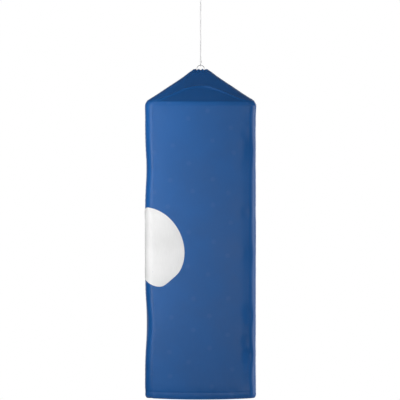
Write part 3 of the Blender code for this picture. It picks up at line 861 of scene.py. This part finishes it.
def sewn(name, runs, finish):
    """Rows of stitches as one piece. A run is a list of (start, end, outward)."""
    shape = bmesh.new()
    for run in runs:
        for start, end, outward in run:
            stitch(shape, start, end, outward)
    bmesh.ops.recalc_face_normals(shape, faces=shape.faces)
    data = bpy.data.meshes.new(name)
    shape.to_mesh(data)
    shape.free()
    made = place(name, data, finish)
    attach(made, "streamer")
    return made


def under_patch(past, level):
    """True where the patch covers the skin, past the middle of its corner."""
    rise = level - (PATCH_LEVEL - HEM)
    return math.hypot(past, rise) < patch_edge(math.atan2(rise, past))


def run_along(at, length, covered=lambda distance: False):
    """Stitches along a line of the skin; at(distance, lift) gives its points."""
    found = []
    for i in range(int(length / STITCH_PITCH)):
        first = (i + 0.5) * STITCH_PITCH - STITCH / 2
        if covered(first) or covered(first + STITCH):
            continue
        start, end = at(first, 0.0), at(first + STITCH, 0.0)
        found.append((start, end, at(first + STITCH / 2, 0.01) - at(first + STITCH / 2, 0.0)))
    return found


def stitching():
    """Twin rows down each corner and up each hip, and one row round the hem."""
    runs = {"corner": [], "hip": [], "hem": []}
    for side in range(4):
        for u in (-1 + TWIN_INSET / FLAT, 1 - TWIN_INSET / FLAT):

            def down(distance, lift, side=side, u=u):
                return skin(side, u, 0.0, STITCH_START + distance - BODY_LENGTH, lift)[0]

            def up_hip(distance, lift, side=side, u=u):
                return skin(side, u, 0.0, STITCH_START + distance, lift)[0]

            def covered(distance, side=side, u=u):
                by_patch = (side == 0 and u < 0) or (side == 3 and u > 0)
                past = (HALF_ARC + TWIN_INSET) * (1 if side == 0 else -1)
                return by_patch and under_patch(past, STITCH_START + distance)

            runs["corner"].append(run_along(down, CORNER_ROW, covered))
            runs["hip"].append(run_along(up_hip, HIP_ROW))

        def across(distance, lift, side=side):
            u = -1 + distance / FLAT
            return skin(side, u, 0.0, HEM_STITCH - BODY_LENGTH, lift)[0]

        runs["hem"].append(run_along(across, 2 * FLAT))
    for name, rows in runs.items():
        sewn(f"{name}_stitching", rows, BLUE_THREAD)


def patch_stitching():
    """The zigzag that holds the patch's edge down."""
    zigzag = []
    teeth = 2 * int(math.pi * PATCH_RADIUS / ZIGZAG_STEP)
    for i in range(teeth):
        ends = []
        for step in (i, i + 1):
            ends.append(patch_point(2 * math.pi * step / teeth, ZIGZAG[step % 2], ZIGZAG_LIFT))
        middle = 2 * math.pi * (i + 0.5) / teeth
        outward = patch_point(middle, 0.98, 0.01) - patch_point(middle, 0.98, 0.0)
        zigzag.append((ends[0], ends[1], outward))
    sewn("patch_stitching", [zigzag], WHITE_THREAD)


patch()
stitching()
patch_stitching()

# Rig materials ---------------------------------------------------------------------------------


def object_space(tree, scale=(1, 1, 1)):
    """Positions on the part, stretched along its axes."""
    return stretched(tree, add(tree, "TexCoord").outputs["Object"], scale)


def steel():
    """Bright drawn wire: fine draw lines, dulled patches and small scratches."""
    made, tree, shader = finish_of("bright_steel", 0.26, metallic=1.0)
    lines = speckle(tree, object_space(tree, (2400, 2400, 160)), 1.0, 4.0)
    patches = speckle(tree, object_space(tree), 210.0, 3.0)
    colour = tinted(tree, (0.60, 0.61, 0.63), patches, 0.14)
    tree.links.new(colour, shader.inputs["Base Color"])
    tree.links.new(ramp(tree, patches, 0.3, 0.7, 0.18, 0.38), shader.inputs["Roughness"])
    bumped(tree, shader, (lines, 0.25, 0.00008))
    return made


def enamel():
    """White stoved enamel: a faint orange peel and a warmer tone in patches."""
    made, tree, shader = finish_of("white_enamel", 0.32, Coat_Weight=0.3, Coat_Roughness=0.15)
    peel = speckle(tree, object_space(tree), 900.0, 2.0)
    patches = speckle(tree, object_space(tree), 70.0, 3.0)
    colour = tinted(tree, (0.78, 0.775, 0.75), patches, 0.05)
    tree.links.new(colour, shader.inputs["Base Color"])
    bumped(tree, shader, (peel, 0.25, 0.0002))
    return made


def moulded(name, colour, roughness, grain):
    """Moulded plastic or vinyl with a fine spark texture and rubbed places."""
    made, tree, shader = finish_of(name, roughness)
    spark = speckle(tree, object_space(tree), grain, 3.0)
    rubbed = speckle(tree, object_space(tree), 120.0, 3.0)
    tree.links.new(tinted(tree, colour, rubbed, 0.22), shader.inputs["Base Color"])
    rough = ramp(tree, rubbed, 0.3, 0.7, roughness - 0.08, roughness + 0.10)
    tree.links.new(rough, shader.inputs["Roughness"])
    bumped(tree, shader, (spark, 0.35, 0.00015))
    return made


def fibreglass():
    """Pale rod with fibres that run along it, in X or in Y."""
    made, tree, shader = finish_of("fibreglass", 0.34, Coat_Weight=0.25, Coat_Roughness=0.2)
    streaks = []
    for scale in ((30, 2600, 2600), (2600, 30, 2600)):
        streaks.append(speckle(tree, object_space(tree, scale), 1.0, 3.0))
    fibres = maths(tree, "MINIMUM", streaks[0], streaks[1])
    colour = tinted(tree, (0.66, 0.68, 0.62), ramp(tree, fibres, 0.3, 0.6), 0.16)
    tree.links.new(colour, shader.inputs["Base Color"])
    bumped(tree, shader, (fibres, 0.3, 0.0001))
    return made


def twisted_line():
    """Thin twisted line, grey-white, its strands wound at a slant."""
    made, tree, shader = finish_of("twisted_line", 0.68)
    where = object_space(tree)
    inputs = {"Vector": where, "Scale": 420.0, "Distortion": 0.6}
    strands = add(tree, "TexWave", inputs, bands_direction="DIAGONAL").outputs["Fac"]
    tree.links.new(tinted(tree, (0.55, 0.57, 0.60), strands, 0.25), shader.inputs["Base Color"])
    bumped(tree, shader, (strands, 0.5, 0.00025))
    return made


RIG_FINISHES = {
    "steel": steel(),
    "white_enamel": enamel(),
    "joiner_vinyl": moulded("joiner_vinyl", (0.030, 0.031, 0.036), 0.48, 1500.0),
    "collar_plastic": moulded("collar_plastic", (0.020, 0.055, 0.130), 0.40, 1100.0),
    "fibreglass": fibreglass(),
    "bridle_line": twisted_line(),
}


def refinish_rig():
    """Gives every CAD part that still shows its detailed finish and smooth shading."""
    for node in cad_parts.values():
        if node.hide_render:
            continue
        slot_name = node.data.materials[0].name.split(".")[0]
        node.material_slots[0].material = RIG_FINISHES[slot_name]
        node.data.shade_smooth()
        node.data.set_sharp_from_angle(angle=math.radians(38))


refinish_rig()

# Floor, light and backdrop ---------------------------------------------------------------------

FLOOR_RADIUS = 0.80
FLOOR_DROP = 0.30  # below the hem
FRONT = -HALF  # the front panel's place along Y
MIDDLE = Vector((0, 0, (SHOULDER + HEM) / 2))


def floor():
    """A round pale floor some way under the hem."""
    shape = bmesh.new()
    bmesh.ops.create_circle(shape, cap_ends=True, segments=128, radius=FLOOR_RADIUS)
    data = bpy.data.meshes.new("floor")
    shape.to_mesh(data)
    shape.free()
    made, _, shader = finish_of("floor", 0.7)
    shader.inputs["Base Color"].default_value = (0.86, 0.86, 0.86, 1)
    ground = place("floor", data, made)
    ground.location.z = HEM - FLOOR_DROP


def softbox(name, at, target, size, power, spread=180):
    """A rectangular white studio light that faces a point; spread is in degrees."""
    data = bpy.data.lights.new(name, "AREA")
    data.shape = "RECTANGLE"
    data.size, data.size_y = size
    data.energy = power
    data.spread = math.radians(spread)
    made = bpy.data.objects.new(name, data)
    bpy.context.scene.collection.objects.link(made)
    made.location = at
    made.rotation_euler = (Vector(target) - Vector(at)).to_track_quat("-Z", "Y").to_euler()
    made.visible_camera = False


def backdrop():
    """White behind the object, and a dim studio round it, paler above and at the right's back."""
    world = bpy.data.worlds.new("studio")
    bpy.context.scene.world = world
    world.use_nodes = True
    tree = world.node_tree
    tree.nodes.clear()
    way = add(tree, "SeparateXYZ", {0: add(tree, "TexCoord").outputs["Generated"]}).outputs
    behind = maths(tree, "MULTIPLY", ramp(tree, way[1], 0.45, 0.95), 0.30)
    behind = maths(tree, "MULTIPLY", behind, ramp(tree, way[0], -0.30, 0.30))
    above = maths(tree, "MULTIPLY", ramp(tree, way[2], 0.35, 0.85), 0.16)
    soft = maths(tree, "ADD", maths(tree, "ADD", behind, above), 0.03)
    lit = add(tree, "Background", {"Color": (1, 1, 1, 1), "Strength": soft}).outputs[0]
    seen = add(tree, "Background", {"Color": (1, 1, 1, 1), "Strength": 1.0}).outputs[0]
    eye = add(tree, "LightPath").outputs["Is Camera Ray"]
    mixed = add(tree, "MixShader", {0: eye, 1: lit, 2: seen}).outputs[0]
    add(tree, "OutputWorld", {"Surface": mixed})


floor()
softbox("key", (-0.40, -0.64, HEM + 0.83), (-0.36, FRONT, HEM + 0.76), (0.32, 1.55), 5.9, spread=145)
softbox("top", (0.50, -0.80, HEM + 1.20), (0.10, FRONT, HEM + 0.86), (0.35, 0.35), 0.9)
softbox("front", (0.45, -3.4, HEM + 0.34), MIDDLE, (1.3, 1.4), 18)
softbox("side", (1.75, -0.02, MIDDLE.z), MIDDLE, (1.2, 1.7), 27)
softbox("back", (0.7, 2.7, MIDDLE.z + 0.3), MIDDLE, (2.2, 2.2), 28)
softbox("rear", (-1.7, 2.1, MIDDLE.z + 0.2), MIDDLE, (1.4, 1.7), 8)
backdrop()
bpy.context.scene.view_settings.view_transform = "Standard"
bpy.context.scene.view_settings.look = "None"
